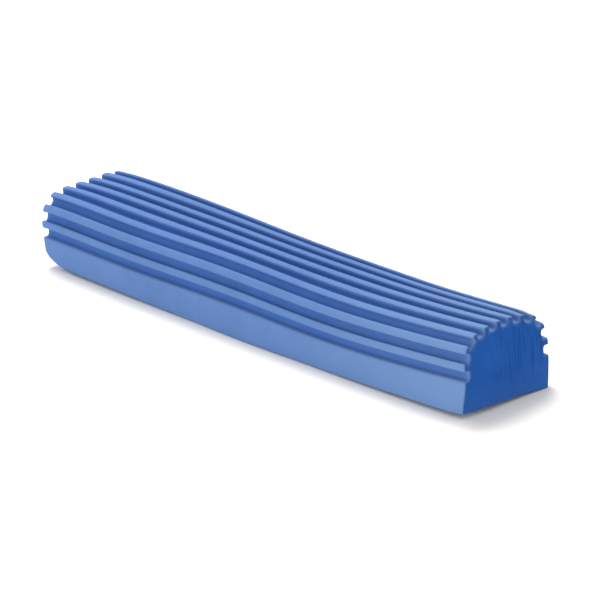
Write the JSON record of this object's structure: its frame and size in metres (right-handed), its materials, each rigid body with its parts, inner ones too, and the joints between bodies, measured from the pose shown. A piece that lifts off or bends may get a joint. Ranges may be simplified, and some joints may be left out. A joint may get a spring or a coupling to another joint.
{
  "type": "sponge mop refill",
  "caption": "Ribbed foam sponge bar with a flat back and a recessed steel channel in which threaded nuts slide, the refill of a squeeze mop.",
  "frame": {"origin": "centre of the flat back, midway along and across the bar, in the plane the bar lies on", "axes": "+X along the bar, +Z out of the flat back up through the ribbed dome, +Y across the bar"},
  "size_m": [0.28, 0.057, 0.0379],
  "materials": {
    "foam": "matte",
    "adhesive": "satin",
    "zinc_steel": "satin",
    "nut_steel": "satin"
  },
  "bodies": {
    "bar": {"sponge": "foam", "adhesive_bed": "adhesive", "channel": "zinc_steel"},
    "left_nut": {"nut_left": "nut_steel"},
    "right_nut": {"nut_right": "nut_steel"}
  },
  "joints": [
    {"name": "nut_left_slide", "type": "slide", "parent": "bar", "child": "left_nut", "axis": [-1, 0, 0], "range_m": [-0.0575, 0.0375]},
    {"name": "nut_right_slide", "type": "slide", "parent": "bar", "child": "right_nut", "axis": [1, 0, 0], "range_m": [-0.0575, 0.0375]}
  ]
}
